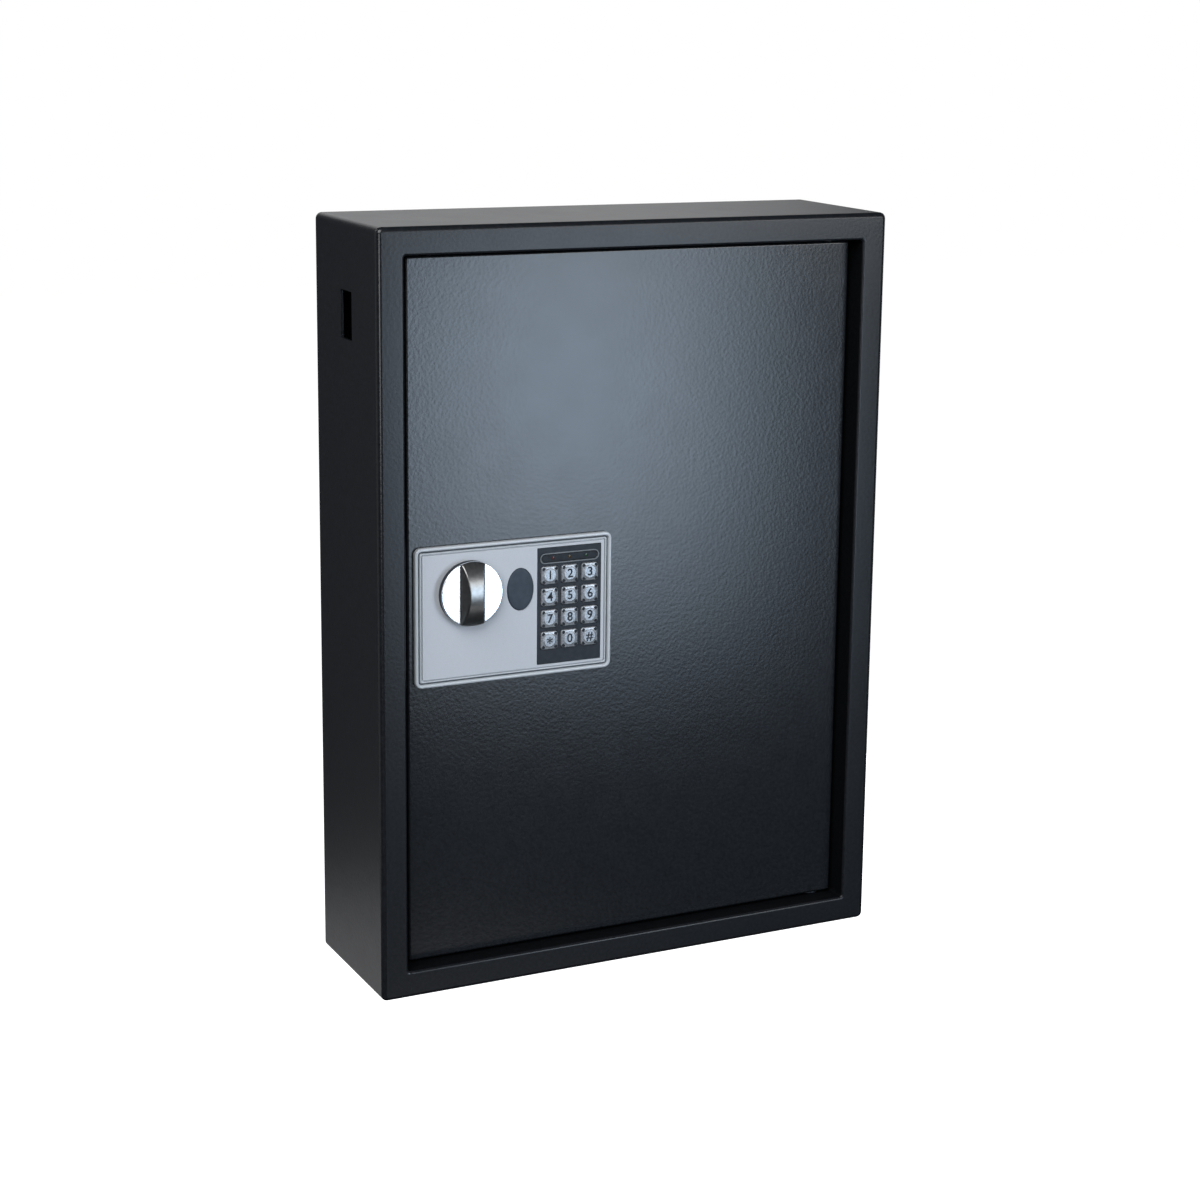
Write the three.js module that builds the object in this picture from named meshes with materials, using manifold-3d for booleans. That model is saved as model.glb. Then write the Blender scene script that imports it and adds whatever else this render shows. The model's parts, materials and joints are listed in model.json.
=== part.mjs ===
// Wall-mounted steel key safe with an electronic lock: a folded cabinet, a recessed door on two
// pivot pins, a keypad panel with a turn knob, the lock behind it and key hook bars inside.
// Millimetres, +X right, +Y towards the wall, +Z up. The origin is the centre of the wall face.
import * as THREE from "three";
import { mergeVertices } from "three/addons/utils/BufferGeometryUtils.js";
import Module from "manifold-3d";

const wasm = await Module();
wasm.setup();

// ---------------------------------------------------------------- driving dimensions
const WIDTH = 400;
const HEIGHT = 550;
const DEPTH = 120;
const SHEET = 2; // steel sheet of the cabinet and the door
const CORNER_R = 3; // outer bend of the cabinet's long edges
const GAP = 0.3; // between pieces that touch

const FRAME = 19.6; // width of the front frame round the door
const LIP_DEPTH = 29; // how far the frame's edge is turned inwards
const DOOR_RECESS = 15; // door face behind the front frame
const DOOR_FOLD = 14; // depth of the door's folded edge
const DOOR_GAP = { left: 6.4, right: 3, top: 2, bottom: 2 };
const PIVOT = { fromDoorEdge: 14, behindFace: 8, pinR: 3, pinLength: 36 };

const SLOT = { y: -60.3, z: 209.4, width: 21.6, height: 34 }; // key drop slot in the left side
const ANCHOR = { x: 130, z: 232, r: 6 }; // wall bolt holes in the back
const RAIL = { x: 150, width: 20 };
const HOOKS = { bars: 7, pitch: 65, count: 12, spacing: 27, barHeight: 22 };

const PANEL = { x: -93.2, z: 0, width: 152, height: 101, r: 5 }; // lock panel on the door
const KNOB = { x: -35.2, z: 16, r: 23.4, skirt: 6, ridge: 9, base: 18.5, crest: 10, turn: 75 };
const PLUG = { x: 4.2, z: 14.4, width: 20, height: 30.4 }; // oval cover over the key cylinder
const PAD = { x: 42.6, z: 0, width: 50.5, height: 86 }; // black keypad field
const KEY = { size: 13, columnPitch: 15.8, rowPitch: 16, firstRowZ: 22.7, r: 2 };
const STRIP = { z: 34.9, width: 46.5, height: 7.8 }; // indicator strip above the keys
const BOLT = { r: 6.5, z: 46, y: 21.5, travel: 12 };
const COVER = { left: -78.2, right: 79.3, halfHeight: 73, back: 45, sheet: 1.5 };

// ---------------------------------------------------------------- places worked out from them
const frontY = -DEPTH;
const doorFaceY = frontY + DOOR_RECESS;
const openingX = WIDTH / 2 - FRAME;
const openingZ = HEIGHT / 2 - FRAME;
const doorLeft = -openingX + DOOR_GAP.left;
const doorRight = openingX - DOOR_GAP.right;
const doorTop = openingZ - DOOR_GAP.top;
const doorBottom = -openingZ + DOOR_GAP.bottom;
const pivotX = doorRight - PIVOT.fromDoorEdge;
const pivotY = doorFaceY + PIVOT.behindFace;
const crankR = BOLT.travel / 2 / Math.sin(THREE.MathUtils.degToRad(KNOB.turn / 2));

// ---------------------------------------------------------------- solids
function solid(geometry) {
  const bare = geometry.clone();
  bare.deleteAttribute("normal");
  bare.deleteAttribute("uv");
  const merged = mergeVertices(bare, 1e-4);
  const index = merged.index.array;
  const corners = [];
  for (let i = 0; i < index.length; i += 3) {
    const [a, b, c] = [index[i], index[i + 1], index[i + 2]];
    if (a !== b && b !== c && c !== a) corners.push(a, b, c);
  }
  return new wasm.Manifold(
    new wasm.Mesh({
      numProp: 3,
      vertProperties: merged.attributes.position.array,
      triVerts: new Uint32Array(corners),
    }),
  );
}

function geometryOf(made) {
  const mesh = made.getMesh();
  const positions = new Float32Array(mesh.numVert * 3);
  for (let i = 0; i < mesh.numVert; i++) {
    positions.set(mesh.vertProperties.subarray(i * mesh.numProp, i * mesh.numProp + 3), i * 3);
  }
  const indexed = new THREE.BufferGeometry();
  indexed.setAttribute("position", new THREE.BufferAttribute(positions, 3));
  indexed.setIndex(new THREE.BufferAttribute(mesh.triVerts, 1));
  const flat = indexed.toNonIndexed();
  flat.computeVertexNormals();
  return flat;
}

// A box given by its lowest and highest corner.
function block([x0, y0, z0], [x1, y1, z1]) {
  const geometry = new THREE.BoxGeometry(x1 - x0, y1 - y0, z1 - z0);
  geometry.translate((x0 + x1) / 2, (y0 + y1) / 2, (z0 + z1) / 2);
  return solid(geometry);
}

// An outline in the XZ plane, given depth from yBack forwards to yFront.
function slab(shape, yFront, yBack, curveSegments = 6) {
  const geometry = new THREE.ExtrudeGeometry(shape, {
    depth: yBack - yFront,
    bevelEnabled: false,
    curveSegments,
  });
  geometry.rotateX(Math.PI / 2);
  geometry.translate(0, yBack, 0);
  return solid(geometry);
}

// A turned piece along an axis: "x", "y" or "z". The profile lists [radius, place along the axis].
function turned(profile, axis, segments = 20) {
  const points = profile.map(([r, along]) => new THREE.Vector2(r, along));
  const geometry = new THREE.LatheGeometry(points, segments);
  if (axis === "x") geometry.rotateZ(-Math.PI / 2);
  if (axis === "z") geometry.rotateX(Math.PI / 2);
  return solid(geometry);
}

function rod(radius, from, to, axis, segments = 20) {
  return turned([[0, from], [radius, from], [radius, to], [0, to]], axis, segments);
}

function roundedRect(width, height, radius, x = 0, z = 0) {
  const [w, h] = [width / 2, height / 2];
  const shape = new THREE.Shape();
  shape.moveTo(x - w + radius, z - h);
  shape.lineTo(x + w - radius, z - h);
  shape.absarc(x + w - radius, z - h + radius, radius, -Math.PI / 2, 0);
  shape.absarc(x + w - radius, z + h - radius, radius, 0, Math.PI / 2);
  shape.absarc(x - w + radius, z + h - radius, radius, Math.PI / 2, Math.PI);
  shape.absarc(x - w + radius, z - h + radius, radius, Math.PI, Math.PI * 1.5);
  return shape;
}

function ellipse(width, height, x = 0, z = 0) {
  const shape = new THREE.Shape();
  shape.absellipse(x, z, width / 2, height / 2, 0, Math.PI * 2);
  return shape;
}

function hexagon(acrossFlats, x = 0, z = 0) {
  const r = acrossFlats / Math.sqrt(3);
  const corners = [];
  for (let i = 0; i < 6; i++) {
    const a = (i * Math.PI) / 3;
    corners.push(new THREE.Vector2(x + r * Math.cos(a), z + r * Math.sin(a)));
  }
  return new THREE.Shape(corners);
}

// ---------------------------------------------------------------- materials
function finish(color, roughness, metalness) {
  return new THREE.MeshStandardMaterial({ color, roughness, metalness });
}

const paint = finish(0x24272b, 0.55, 0.1);
const zincSteel = finish(0xb4b8bb, 0.4, 0.9);
const silverPlastic = finish(0xc4ccd4, 0.35, 0.6);
const faceSilver = finish(0xb2bcc6, 0.4, 0.7);
const blackPlastic = finish(0x23262b, 0.4, 0);
const slatePlastic = finish(0x414a54, 0.45, 0);
const smokedPlastic = finish(0x2a2c30, 0.15, 0);
const chrome = finish(0xf0f2f4, 0.08, 1);
const keyMetal = finish(0xc9cdd2, 0.35, 0.8);
const rubber = finish(0x4a4a48, 0.8, 0);
const circuitBoard = finish(0x1f5a38, 0.5, 0);
const brass = finish(0xc7a552, 0.35, 0.9);
const redPlastic = finish(0xb3201c, 0.4, 0);
const cellJacket = finish(0x3a3f45, 0.35, 0.3);

function part(group, name, made, material, position = [0, 0, 0]) {
  const mesh = new THREE.Mesh(geometryOf(made), material);
  mesh.name = name;
  mesh.position.set(...position);
  group.add(mesh);
  return mesh;
}

// ---------------------------------------------------------------- cabinet
function cabinetShell() {
  const inner = [WIDTH / 2 - SHEET, HEIGHT / 2 - SHEET];
  const walls = slab(roundedRect(WIDTH, HEIGHT, CORNER_R), frontY, 0, 3).subtract(
    block([-inner[0], frontY + SHEET, -inner[1]], [inner[0], 1, inner[1]]),
  );
  const lipEnd = frontY + LIP_DEPTH;
  const lip = block(
    [-openingX - SHEET, frontY + SHEET / 2, -openingZ - SHEET],
    [openingX + SHEET, lipEnd, openingZ + SHEET],
  );
  const opening = block([-openingX, frontY - 1, -openingZ], [openingX, lipEnd + 1, openingZ]);
  const slot = block(
    [-WIDTH / 2 - 1, SLOT.y - SLOT.width / 2, SLOT.z - SLOT.height / 2],
    [-WIDTH / 2 + SHEET + 1, SLOT.y + SLOT.width / 2, SLOT.z + SLOT.height / 2],
  );
  const bushHole = rod(BUSH_R + GAP, -HEIGHT / 2 + SHEET + 1, HEIGHT / 2 - SHEET - 1, "z")
    .translate([pivotX, pivotY, 0]);
  return walls.add(lip).subtract(opening).subtract(slot).subtract(bushHole);
}

function backPanel() {
  const half = [WIDTH / 2 - SHEET - GAP, HEIGHT / 2 - SHEET - GAP];
  let panel = block([-half[0], -SHEET, -half[1]], [half[0], 0, half[1]]);
  for (const x of [-ANCHOR.x, ANCHOR.x]) {
    for (const z of [-ANCHOR.z, ANCHOR.z]) {
      panel = panel.subtract(rod(ANCHOR.r, -SHEET - 1, 1, "y").translate([x, 0, z]));
    }
  }
  return panel;
}

const BUSH_R = 4.7;
function hingeBush() {
  const bore = PIVOT.pinR + GAP;
  return turned(
    [[bore, -2.6], [BUSH_R, -2.6], [BUSH_R, 0.3], [6, 0.3], [6, 1.4], [bore, 1.4], [bore, -2.6]],
    "z",
    16,
  );
}

const railY = -SHEET - GAP;
function uprightRail() {
  const halfHeight = (HOOKS.pitch * (HOOKS.bars - 1)) / 2 + 25;
  let rail = block([-RAIL.width / 2, -SHEET, -halfHeight], [RAIL.width / 2, 0, halfHeight]);
  const slots = HOOKS.bars - 1;
  for (let i = 0; i < slots; i++) {
    const z = (i - (slots - 1) / 2) * HOOKS.pitch;
    rail = rail.subtract(block([-2, -SHEET - 1, z - 8], [2, 1, z + 8]));
  }
  return rail;
}

// A punched strip. Each peg is a tongue bent out of it and tilted up, so that a ring slides home.
function hookBar() {
  const length = HOOKS.spacing * HOOKS.count + 6;
  const half = HOOKS.barHeight / 2;
  let bar = block([-length / 2, -SHEET, -half], [length / 2, 0, half]);
  for (let i = 0; i < HOOKS.count; i++) {
    const x = (i - (HOOKS.count - 1) / 2) * HOOKS.spacing;
    const peg = block([-2.5, -17, -1], [2.5, 0, 1]).rotate([-32, 0, 0]);
    bar = bar.add(peg.translate([x, -0.7, -5]));
  }
  return bar;
}

function buildCabinet() {
  const cabinet = new THREE.Group();
  part(cabinet, "cabinet_shell", cabinetShell(), paint);
  part(cabinet, "back_panel", backPanel(), paint);
  const lower = part(cabinet, "hinge_bush_lower", hingeBush(), blackPlastic);
  lower.position.set(pivotX, pivotY, -openingZ);
  const upper = part(cabinet, "hinge_bush_upper", hingeBush(), blackPlastic);
  upper.position.set(pivotX, pivotY, openingZ);
  upper.rotation.x = Math.PI;
  part(cabinet, "rail_left", uprightRail(), zincSteel, [-RAIL.x, railY, 0]);
  part(cabinet, "rail_right", uprightRail(), zincSteel, [RAIL.x, railY, 0]);
  for (let i = 0; i < HOOKS.bars; i++) {
    const z = ((HOOKS.bars - 1) / 2 - i) * HOOKS.pitch;
    part(cabinet, `hook_bar_${i + 1}`, hookBar(), zincSteel, [0, railY - SHEET - GAP, z]);
  }
  return cabinet;
}

// ---------------------------------------------------------------- door
const KEYPAD_CUT = { width: 48.5, height: 78, z: 2.5 };

function doorPanel() {
  const foldEnd = doorFaceY + DOOR_FOLD;
  const pan = block([doorLeft, doorFaceY, doorBottom], [doorRight, foldEnd, doorTop]).subtract(
    block(
      [doorLeft + SHEET, doorFaceY + SHEET, doorBottom + SHEET],
      [doorRight - SHEET, foldEnd + 1, doorTop - SHEET],
    ),
  );
  const pinHole = rod(PIVOT.pinR + GAP, doorBottom - 1, doorTop + 1, "z").translate([pivotX, pivotY, 0]);
  const throughFace = (radius, x, z) =>
    rod(radius, doorFaceY - 1, doorFaceY + SHEET + 1, "y").translate([PANEL.x + x, 0, PANEL.z + z]);
  const keypad = roundedRect(
    KEYPAD_CUT.width, KEYPAD_CUT.height, 2, PANEL.x + PAD.x, PANEL.z + KEYPAD_CUT.z,
  );
  let made = pan
    .subtract(pinHole)
    .subtract(throughFace(SPINDLE_R + 1, KNOB.x, KNOB.z))
    .subtract(throughFace(CYLINDER_R + 0.5, PLUG.x, PLUG.z))
    .subtract(slab(keypad, doorFaceY - 1, doorFaceY + SHEET + 1, 2));
  for (const [x, z] of studPlaces) made = made.subtract(throughFace(STUD_R + 0.5, x, z));
  return made;
}

// The steel block welded into a corner of the door, which holds the pivot pin.
function hingeBlock() {
  const half = doorRight - SHEET - GAP - pivotX;
  const front = doorFaceY + SHEET + GAP - pivotY;
  return block([-half - 4, front, -20], [half, -front, 0]).subtract(
    rod(PIVOT.pinR + GAP, -21, 1, "z"),
  );
}

function hingePin() {
  const [r, end] = [PIVOT.pinR, PIVOT.pinLength];
  return turned([[0, 0], [r, 0], [r, end - 1.5], [r - 1, end], [0, end]], "z");
}

function buildDoor() {
  const door = new THREE.Group();
  part(door, "door_panel", doorPanel(), paint);
  const blockTop = doorTop - SHEET - GAP;
  const blockBottom = doorBottom + SHEET + GAP;
  part(door, "hinge_block_upper", hingeBlock(), zincSteel, [pivotX, pivotY, blockTop]);
  part(door, "hinge_block_lower", hingeBlock(), zincSteel, [pivotX, pivotY, blockBottom + 20]);
  part(door, "hinge_pin_upper", hingePin(), zincSteel, [pivotX, pivotY, blockTop - 20]);
  const lowerPin = part(door, "hinge_pin_lower", hingePin(), zincSteel);
  lowerPin.position.set(pivotX, pivotY, blockBottom + 20);
  lowerPin.rotation.x = Math.PI;
  return door;
}

// ---------------------------------------------------------------- lock panel
// Everything below is placed from the panel's centre on the door face: y 0 is the door face,
// y below 0 is in front of it and y above 0 is behind it.
const STUD_R = 2;
const SPINDLE_R = 4;
const CYLINDER_R = 9.5;
const ROTOR_R = 6;
const studPlaces = [[-71, -46], [71, -46], [-71, 46], [71, 46]];
const BEZEL = { back: -0.3, base: -1.4, front: -3.6, ring: 4.2, groove: 1.5 };
const FACE = { back: BEZEL.base - GAP, front: -2.8 };
const MASK = { back: BEZEL.base - GAP, front: -3 };
const keysMiddleZ = KEY.firstRowZ - 1.5 * KEY.rowPitch;

function lockBezel() {
  const outer = roundedRect(PANEL.width, PANEL.height, PANEL.r);
  const inner = [PANEL.width - 2 * BEZEL.ring, PANEL.height - 2 * BEZEL.ring];
  const well = slab(
    roundedRect(...inner, PANEL.r - BEZEL.ring), BEZEL.front - 1, BEZEL.base, 4,
  );
  const keyWindow = slab(roundedRect(48, 63.9, 1, PAD.x, keysMiddleZ), -5, 1, 1);
  const stripWindow = slab(roundedRect(44, 4, 1.9, PAD.x, STRIP.z), -5, 1, 3);
  let bezel = slab(outer, BEZEL.front, BEZEL.back, 6)
    .subtract(well)
    .subtract(keyWindow)
    .subtract(stripWindow)
    .subtract(rod(SPINDLE_R + 1, -5, 1, "y").translate([KNOB.x, 0, KNOB.z]))
    .subtract(rod(CYLINDER_R + 0.4, -5, 1, "y").translate([PLUG.x, 0, PLUG.z]));
  for (const [x, z] of studPlaces) {
    bezel = bezel.add(rod(STUD_R, BEZEL.back - 0.5, 8, "y", 12).translate([x, 0, z]));
  }
  return bezel;
}

function lockFace() {
  const inset = 2 * (BEZEL.ring + BEZEL.groove);
  return slab(
    roundedRect(PANEL.width - inset, PANEL.height - inset, 1.2), FACE.front, FACE.back, 3,
  )
    .subtract(slab(roundedRect(PAD.width, PAD.height, 0.5, PAD.x, PAD.z), -5, 0, 1))
    .subtract(slab(ellipse(PLUG.width + 0.8, PLUG.height + 0.8, PLUG.x, PLUG.z), -5, 0, 24))
    .subtract(rod(SPINDLE_R + 1, -5, 0, "y").translate([KNOB.x, 0, KNOB.z]));
}

function keyPlaces() {
  const names = ["1", "2", "3", "4", "5", "6", "7", "8", "9", "star", "0", "hash"];
  return names.map((name, i) => ({
    name,
    x: PAD.x + ((i % 3) - 1) * KEY.columnPitch,
    z: KEY.firstRowZ - Math.floor(i / 3) * KEY.rowPitch,
  }));
}

function keypadMask() {
  const field = roundedRect(PAD.width - 2 * GAP, PAD.height - 2 * GAP, 0.5, PAD.x, PAD.z);
  const rim = roundedRect(STRIP.width, STRIP.height, STRIP.height / 2, PAD.x, STRIP.z);
  const window = roundedRect(STRIP.width - 2, STRIP.height - 2, 2.6, PAD.x, STRIP.z);
  let mask = slab(field, MASK.front, MASK.back, 1)
    .add(slab(rim, MASK.front - 0.5, MASK.front + 0.5, 4))
    .subtract(slab(window, -6, 0, 4));
  const hole = KEY.size + 0.8;
  for (const { x, z } of keyPlaces()) {
    mask = mask.subtract(slab(roundedRect(hole, hole, KEY.r, x, z), -5, 0, 1));
  }
  return mask;
}

function indicatorWindow() {
  return slab(
    roundedRect(STRIP.width - 2.8, STRIP.height - 2.8, 2.2), MASK.front - 0.1, MASK.back, 4,
  );
}

function keyCap() {
  const cap = roundedRect(KEY.size, KEY.size, KEY.r);
  const flange = roundedRect(KEY.size + 1.4, KEY.size + 1.4, 1);
  const topFace = roundedRect(KEY.size - 1, KEY.size - 1, KEY.r - 0.5);
  return slab(cap, -4.1, -1.2, 2)
    .add(slab(topFace, -4.6, -4, 2))
    .add(slab(flange, BEZEL.base, -0.6, 1));
}

function keypadMat() {
  return slab(roundedRect(47, 62.9, 1, PAD.x, keysMiddleZ), 0.9, 1.6, 1);
}

function keypadBoard() {
  return slab(roundedRect(47, 76, 1, PAD.x, KEYPAD_CUT.z), 1.9, 3.2, 1);
}

function plugCover() {
  return slab(ellipse(PLUG.width, PLUG.height), -3.3, FACE.back, 24).add(
    slab(ellipse(PLUG.width - 1.6, PLUG.height - 1.6), -3.7, -3, 24),
  );
}

// ---------------------------------------------------------------- knob and its crank
// A round skirt with one ridge across it. The ridge is an arch along the knob's diameter, and its
// two flanks lean in towards the crest, so that the crest is narrowest in the middle.
function knobCap() {
  const front = -KNOB.skirt;
  const skirt = turned(
    [[0, front], [KNOB.r - 0.6, front], [KNOB.r, front + 0.6], [KNOB.r, 0], [0, 0]],
    "y",
    48,
  );
  const ridge = ridgeArch(front)
    .intersect(ridgeWedge(front))
    .intersect(rod(KNOB.r - 0.6, front - KNOB.ridge - 1, 0, "y", 48));
  return skirt.add(ridge).subtract(rod(SPINDLE_R + GAP, -6.5, 1, "y"));
}

// The ridge seen from the side: a shallow circular arch over the whole knob.
function ridgeArch(front) {
  const arcR = (KNOB.r ** 2 + KNOB.ridge ** 2) / (2 * KNOB.ridge);
  const reach = Math.asin(KNOB.r / arcR);
  const arch = new THREE.Shape();
  arch.moveTo(-KNOB.r, front + 1);
  arch.absarc(0, front - KNOB.ridge + arcR, arcR, -Math.PI / 2 - reach, -Math.PI / 2 + reach);
  arch.lineTo(KNOB.r, front + 1);
  const geometry = new THREE.ExtrudeGeometry(arch, {
    depth: KNOB.base, bevelEnabled: false, curveSegments: 20,
  });
  geometry.translate(0, 0, -KNOB.base / 2);
  geometry.rotateY(Math.PI / 2);
  return solid(geometry);
}

// The ridge seen from its end: wide at the base and narrow at the crest.
function ridgeWedge(front) {
  const [base, crest] = [KNOB.base / 2, KNOB.crest / 2];
  const slope = (base - crest) / KNOB.ridge;
  const wedge = new THREE.Shape();
  wedge.moveTo(-base - slope, front + 1);
  wedge.lineTo(-crest + slope, front - KNOB.ridge - 1);
  wedge.lineTo(crest - slope, front - KNOB.ridge - 1);
  wedge.lineTo(base + slope, front + 1);
  const geometry = new THREE.ExtrudeGeometry(wedge, { depth: 2 * KNOB.r, bevelEnabled: false });
  geometry.translate(0, 0, -KNOB.r);
  return solid(geometry);
}

function crank() {
  const disc = rod(13, 24.6, 27.6, "y", 32);
  const pin = rod(2.5, 27.1, 34, "y", 16).translate([BOLT.travel / 2, 0, crankPinZ]);
  return disc.add(pin).subtract(rod(SPINDLE_R + GAP, 24, 28, "y"));
}
const crankPinZ = crankR * Math.cos(THREE.MathUtils.degToRad(KNOB.turn / 2));

function buildKnob() {
  const knob = new THREE.Group();
  knob.position.set(KNOB.x, 0, KNOB.z);
  part(knob, "knob", knobCap(), chrome, [0, FACE.front - GAP, 0]);
  part(knob, "knob_spindle", rod(SPINDLE_R, -9, 27, "y"), zincSteel);
  part(knob, "crank_disc", crank(), zincSteel);
  return knob;
}

// ---------------------------------------------------------------- bolts
const PLATE = { front: 29, back: 32, left: -48.7, right: -14.7, halfHeight: 56 };
const POST = { x: -36.7, z: 41, r: 3 };
const PLUNGER = { x: -1.7, y: 30.5, r: 3, top: -15.6 };

function boltCarriage() {
  const { front, back, left, right, halfHeight } = PLATE;
  const ear = (z) => block([left, BOLT.y - BOLT.r, z - 9], [left + 3, front + 1, z + 9]);
  const guideSlot = (z) =>
    block([POST.x - POST.r - 0.5, front - 1, z - POST.r - 0.4],
      [POST.x + BOLT.travel + POST.r + 0.5, back + 1, z + POST.r + 0.4]);
  const pinX = KNOB.x + BOLT.travel / 2;
  const crankSlot = block(
    [pinX - 2.9, front - 1, KNOB.z + crankPinZ - 3.5],
    [pinX + 2.9, back + 1, KNOB.z + crankR + 3.5],
  );
  const arm = block([right - 1, front, -15], [18, back, -4.5]);
  const notch = (x) => block([x - 3.7, front - 1, -16], [x + 3.7, back + 1, -9.4]);
  return block([left, front, -halfHeight], [right, back, halfHeight])
    .add(ear(BOLT.z))
    .add(ear(-BOLT.z))
    .add(arm)
    .subtract(guideSlot(POST.z))
    .subtract(guideSlot(-POST.z))
    .subtract(crankSlot)
    .subtract(notch(PLUNGER.x))
    .subtract(notch(PLUNGER.x + BOLT.travel));
}

function liveBolt() {
  const [tip, root] = [-83.7, PLATE.left - GAP];
  const { r } = BOLT;
  return turned([[0, tip], [r - 1.5, tip], [r, tip + 1.5], [r, root], [0, root]], "x", 28);
}

// A shoulder post that the carriage slides on: stem, shoulder below the plate, head above it.
function guidePost() {
  return turned(
    [[0, 2.3], [4.6, 2.3], [4.6, PLATE.front - 0.6], [POST.r, PLATE.front - 0.6],
      [POST.r, PLATE.back + 0.6], [5, PLATE.back + 0.6], [5, 35], [0, 35]],
    "y",
    14,
  );
}

// ---------------------------------------------------------------- electrics and key cylinder
function solenoidCase() {
  const { x, y, r, top } = PLUNGER;
  const base = top - 8;
  const foot = block([x - 8, SHEET + GAP, base - 24], [x + 8, y - 9, base - 4]);
  return block([x - 11, y - 10, base - 28], [x + 11, y + 10, base]).add(foot).subtract(
    rod(r + 0.4, base - 22, base + 1, "z").translate([x, y, 0]),
  );
}

function solenoidPlunger() {
  const { r, top } = PLUNGER;
  return turned([[0, top - 28], [r, top - 28], [r, top - 1], [r - 1, top], [0, top]], "z");
}

function cylinderHousing() {
  return turned(
    [[ROTOR_R + GAP, -1.3], [CYLINDER_R, -1.3], [CYLINDER_R, 30], [ROTOR_R + GAP, 30],
      [ROTOR_R + GAP, -1.3]],
    "y",
    32,
  );
}

function cylinderNut() {
  return slab(hexagon(24), 2.4, 6.4).subtract(rod(CYLINDER_R + GAP, 1, 8, "y", 32));
}

function cylinderRotor() {
  const cam = block([-4, 31, -4], [15, 33.5, 4]);
  return rod(ROTOR_R, -1, 31.5, "y", 28)
    .subtract(block([-0.8, -2, -4.5], [0.8, 10, 4.5]))
    .add(cam);
}

const CELL = { r: 7.1, length: 50, pitch: 14.7, y: 30.8 };
const BOX = { left: 21, right: 77, bottom: -67.4, top: -4.6, front: 22, back: 42.6 };

function batteryBox() {
  const wall = 1.4;
  let box = block([BOX.left, BOX.front, BOX.bottom], [BOX.right, BOX.back, BOX.top]).subtract(
    block([BOX.left + wall, BOX.front + wall, BOX.bottom + wall],
      [BOX.right - wall, BOX.back + 1, BOX.top - wall]),
  );
  for (const [x, z] of [[72, -12], [72, -60], [26, -60]]) box = box.add(standoff(x, z, BOX.front));
  return box;
}

// A short pillar between the door sheet and something behind it.
function standoff(x, z, end) {
  return rod(2.6, SHEET + GAP, end + 0.5, "y", 12).translate([x, 0, z]);
}

function batteryCell() {
  const end = CELL.length / 2;
  const shoulder = end - 1.5;
  return turned(
    [[0, -end], [CELL.r, -end], [CELL.r, shoulder], [2.7, shoulder], [2.7, end], [0, end]],
    "x",
  );
}

const LID = { margin: 2.2, thickness: 1.8 };
function batteryLid() {
  const { left, right, bottom, top } = BOX;
  const { margin } = LID;
  const outside = block(
    [left + margin, COVER.back - 1.2, bottom + margin],
    [right - margin, COVER.back + LID.thickness, top - margin],
  );
  const grip = block([right - margin - 9, COVER.back + 1, (bottom + top) / 2 - 9],
    [right - margin - 5, COVER.back + LID.thickness + 1, (bottom + top) / 2 + 9]);
  return outside.subtract(grip);
}

const RESET = { x: 62, z: 38, r: 3 };
function resetButton() {
  return turned(
    [[0, 15.6], [RESET.r, 15.6], [RESET.r, 38], [4.5, 38], [4.5, 40.6], [RESET.r, 40.6],
      [RESET.r, COVER.back + 2.2], [0, COVER.back + 2.2]],
    "y",
    20,
  );
}

function controlBoard() {
  const board = block([22, 12, 0], [76, 13.6, 64]);
  const chip = block([30, 13, 8], [42, 16, 24]);
  const relay = block([50, 13, 44], [66, 24, 58]);
  const socket = block([26, 13, 46], [38, 20, 54]);
  let made = board.add(chip).add(relay).add(socket);
  for (const [x, z] of [[72, 4], [72, 60], [26, 60]]) made = made.add(standoff(x, z, 12));
  return made;
}

function lockCover() {
  const { left, right, halfHeight, back, sheet } = COVER;
  const front = SHEET + GAP;
  const boltHole = (z) =>
    rod(BOLT.r + 0.6, left - 1, left + sheet + 1, "x", 28).translate([0, BOLT.y, z]);
  const flange = (side) =>
    block([left + 10, front, side > 0 ? halfHeight - 1 : -halfHeight - 12],
      [right - 10, front + sheet, side > 0 ? halfHeight + 12 : -halfHeight + 1]);
  const margin = LID.margin - 0.4;
  return block([left, front, -halfHeight], [right, back, halfHeight])
    .add(flange(1))
    .add(flange(-1))
    .subtract(block([left + sheet, front - 1, -halfHeight + sheet],
      [right - sheet, back - sheet, halfHeight - sheet]))
    .subtract(boltHole(BOLT.z))
    .subtract(boltHole(-BOLT.z))
    .subtract(block([BOX.left + margin, back - 4, BOX.bottom + margin],
      [BOX.right - margin, back + 1, BOX.top - margin]))
    .subtract(rod(RESET.r + 0.5, back - 4, back + 1, "y", 20).translate([RESET.x, 0, RESET.z]));
}

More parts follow.
